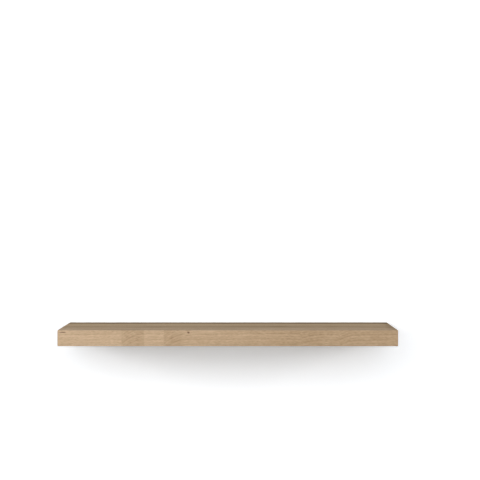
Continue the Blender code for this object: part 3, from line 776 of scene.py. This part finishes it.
def turnThread(bm, thread):
    root, crest = thread["root"], thread["crest"]
    foot, land = thread["foot"] / 2, thread["land"] / 2
    corners = [(root, foot), (crest, land), (crest, -land), (root, -foot)]
    first = [bm.verts.new((radius * mm, 0, (thread["top"] + height) * mm)) for radius, height in corners]
    edges = [bm.edges.new((first[i - 1], first[i])) for i in range(len(first))]
    steps = round((thread["top"] - thread["bottom"]) / thread["pitch"] * thread["steps"])
    spun = bmesh.ops.spin(
        bm, geom=first + edges, axis=(0, 0, 1), cent=(0, 0, 0), angle=fullTurn * steps / thread["steps"],
        steps=steps, dvec=(0, 0, -thread["pitch"] / thread["steps"] * mm),
    )
    bm.faces.new(first)
    bmesh.ops.contextual_create(bm, geom=onlyVerts(spun["geom_last"]))
    for vert in bm.verts:       # the ridge grows out of the core and dies into the point
        height = vert.co.z / mm
        growth = min((thread["top"] - height) / thread["runIn"], (height - thread["end"]) / thread["runOut"])
        vert.co.xy = vert.co.xy * max(thread["least"], min(1.0, growth))
    bmesh.ops.recalc_face_normals(bm, faces=bm.faces)


def newPiece(name, bm, material):
    bmesh.ops.remove_doubles(bm, verts=bm.verts, dist=packedFinish["weld"])
    bmesh.ops.recalc_face_normals(bm, faces=bm.faces)
    mesh = bpy.data.meshes.new(name)
    bm.to_mesh(mesh)
    bm.free()
    mesh.materials.append(material)
    return addObject(name, mesh)


def cutAway(piece, cutter):
    cut = piece.modifiers.new("cut", "BOOLEAN")
    cut.object = cutter
    graph = bpy.context.evaluated_depsgraph_get()
    mesh = bpy.data.meshes.new_from_object(piece.evaluated_get(graph))
    piece.modifiers.clear()
    piece.data = mesh
    bpy.data.objects.remove(cutter)


def addThread(piece, thread):
    bm = bmesh.new()
    turnThread(bm, thread)
    bm.from_mesh(piece.data)
    bm.to_mesh(piece.data)
    bm.free()


def standIn(piece, node, body):
    low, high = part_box(node)
    centre = (Vector(low) + Vector(high)) / 2
    seat = Matrix.Translation((centre.x, low[1], centre.z))     # the end that faces the room
    piece.data.transform(seat @ towardsRoom)
    piece.data.shade_smooth()
    piece.data.set_sharp_from_angle(angle=packedFinish["crispAngle"])
    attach(piece, body)
    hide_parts(node)


# Turned pieces: heights in millimetres down from the end that faces the room
wallScrew = {
    "headRadius": 4.6, "rim": 0.3, "edge": 0.14, "neckRadius": 1.9, "neckEnd": -14.0,
    "coreRadius": 1.5, "taperStart": -43.0, "pointRadius": 0.15, "length": 50.0, "steps": 40,
    "thread": {
        "root": 1.38, "crest": 2.3, "foot": 1.1, "land": 0.24, "pitch": 2.2, "top": -12.0, "bottom": -49.3,
        "steps": 22, "runIn": 2.2, "runOut": 7.0, "end": -50.0, "least": 0.05,
    },
    "recess": {"width": 5.0, "slot": 1.1, "depth": 1.5, "floorShare": 0.55, "over": 0.5},
}


def makeCrossCutter(recess):
    far, near = recess["width"] / 2 * mm, recess["slot"] / 2 * mm
    bm = bmesh.new()
    corners = []
    for quarter in range(4):
        turn = Matrix.Rotation(-quarter * fullTurn / 4, 3, "Z")
        for point in ((near, far, 0), (near, near, 0), (far, near, 0)):
            corners.append(bm.verts.new(turn @ Vector(point)))
    mouth = bm.faces.new(corners)
    bmesh.ops.translate(bm, verts=corners, vec=(0, 0, recess["over"] * mm))
    grown = bmesh.ops.extrude_face_region(bm, geom=[mouth], use_keep_orig=True)
    floor = onlyVerts(grown["geom"])
    bmesh.ops.translate(bm, verts=floor, vec=(0, 0, -(recess["over"] + recess["depth"]) * mm))
    bmesh.ops.scale(bm, verts=floor, vec=(recess["floorShare"], recess["floorShare"], 1))
    return newPiece("crossCutter", bm, finishMaterials["yellowZinc"])


def makeWallScrew(node):
    head, neck, core = wallScrew["headRadius"], wallScrew["neckRadius"], wallScrew["coreRadius"]
    edge, rim, tip = wallScrew["edge"], wallScrew["rim"], -wallScrew["length"]
    profile = [
        (0, 0), (head - edge, 0), (head, -edge), (head, -rim), (neck, neck - head - rim),
        (neck, wallScrew["neckEnd"]), (core, wallScrew["neckEnd"] + core - neck),
        (core, wallScrew["taperStart"]), (wallScrew["pointRadius"], tip), (0, tip),
    ]
    bm = bmesh.new()
    turnProfile(bm, profile, wallScrew["steps"])
    screw = newPiece(node + "_threaded", bm, finishMaterials["yellowZinc"])
    cutAway(screw, makeCrossCutter(wallScrew["recess"]))
    addThread(screw, wallScrew["thread"])
    standIn(screw, node, "wall_fixings")


tiltScrew = {
    "radius": 2.5, "coreRadius": 2.06, "edge": 0.5, "length": 20.0, "steps": 40,
    "pointRadius": 1.7, "pointLength": 1.0, "cupRadius": 1.1, "cupDepth": 0.5,
    "thread": {
        "root": 1.98, "crest": 2.5, "foot": 0.68, "land": 0.10, "pitch": 0.8, "top": -0.35, "bottom": -18.9,
        "steps": 28, "runIn": 0.5, "runOut": 0.5, "end": -19.2, "least": 0.7,
    },
    "socket": {"acrossFlats": 2.5, "depth": 3.0, "over": 1.0},
}


def makeHexCutter(socket):
    radius = socket["acrossFlats"] / 2 / math.cos(fullTurn / 12) * mm
    height = (socket["depth"] + socket["over"]) * mm
    middle = Matrix.Translation((0, 0, socket["over"] * mm - height / 2))
    bm = bmesh.new()
    bmesh.ops.create_cone(
        bm, cap_ends=True, segments=6, radius1=radius, radius2=radius, depth=height, matrix=middle,
    )
    return newPiece("hexCutter", bm, finishMaterials["blackOxide"])


def makeTiltScrew(node):
    core, tip, point = tiltScrew["coreRadius"], -tiltScrew["length"], tiltScrew["pointRadius"]
    profile = [
        (0, 0), (core - tiltScrew["edge"] / 2, 0), (core, -tiltScrew["edge"]),
        (core, tip + tiltScrew["pointLength"]), (point, tip),
        (tiltScrew["cupRadius"], tip), (0, tip + tiltScrew["cupDepth"]),
    ]
    bm = bmesh.new()
    turnProfile(bm, profile, tiltScrew["steps"])
    screw = newPiece(node + "_threaded", bm, finishMaterials["blackOxide"])
    cutAway(screw, makeHexCutter(tiltScrew["socket"]))
    addThread(screw, tiltScrew["thread"])
    standIn(screw, node, node)


wallPlug = {
    "radius": 4.0, "boreRadius": 2.4, "mouthRadius": 2.75, "mouthDepth": 1.0, "lip": 0.35,
    "collar": 9.0, "length": 40.0, "nose": 4.0, "noseTaper": 1.0, "noseRound": 0.4,
    "ribs": 5, "ribDepth": 0.5, "ribLand": 1.3, "slot": 1.2, "over": 1.0, "steps": 48,
    "mouldEdge": 0.12,          # rounds left by the mould
}


def ribProfile(plug):
    pitch = (plug["length"] - plug["collar"] - plug["nose"]) / plug["ribs"]
    points = []
    for i in range(plug["ribs"]):
        start, end = -plug["collar"] - i * pitch, -plug["collar"] - (i + 1) * pitch
        points += [(plug["radius"] - plug["ribDepth"], start), (plug["radius"], end + plug["ribLand"])]
        points.append((plug["radius"], end))
    return points


def makeSlotCutter(plug):
    height = (plug["length"] - plug["collar"] + plug["over"]) * mm
    middle = -plug["collar"] * mm - height / 2
    bm = bmesh.new()
    size = Matrix.Diagonal((plug["slot"] * mm, 2 * (plug["radius"] + plug["over"]) * mm, height, 1))
    bmesh.ops.create_cube(bm, size=1, matrix=Matrix.Translation((0, 0, middle)) @ size)
    return newPiece("slotCutter", bm, finishMaterials["greyNylon"])


def makeWallPlug(node):
    radius, lip, rear = wallPlug["radius"], wallPlug["lip"], -wallPlug["length"]
    noseRadius = radius - wallPlug["noseTaper"]
    profile = [(radius - lip, 0), (radius, -lip), (radius, -wallPlug["collar"]), *ribProfile(wallPlug)]
    profile += [(noseRadius, rear + wallPlug["noseRound"]), (noseRadius - wallPlug["noseRound"] / 2, rear)]
    profile += [(wallPlug["boreRadius"], rear), (wallPlug["boreRadius"], -wallPlug["mouthDepth"])]
    profile.append((wallPlug["mouthRadius"], 0))
    bm = bmesh.new()
    turnProfile(bm, profile, wallPlug["steps"])
    plug = newPiece(node + "_moulded", bm, finishMaterials["greyNylon"])
    cutAway(plug, makeSlotCutter(wallPlug))
    standIn(plug, node, "wall_fixings")
    roundEdges(plug, "mouldEdges", wallPlug["mouldEdge"])


for side in ("left", "right"):
    makeTiltScrew(f"tilt_screw_{side}")
    for number in (1, 2):
        makeWallScrew(f"wall_screw_{side}_{number}")
        makeWallPlug(f"wall_plug_{side}_{number}")
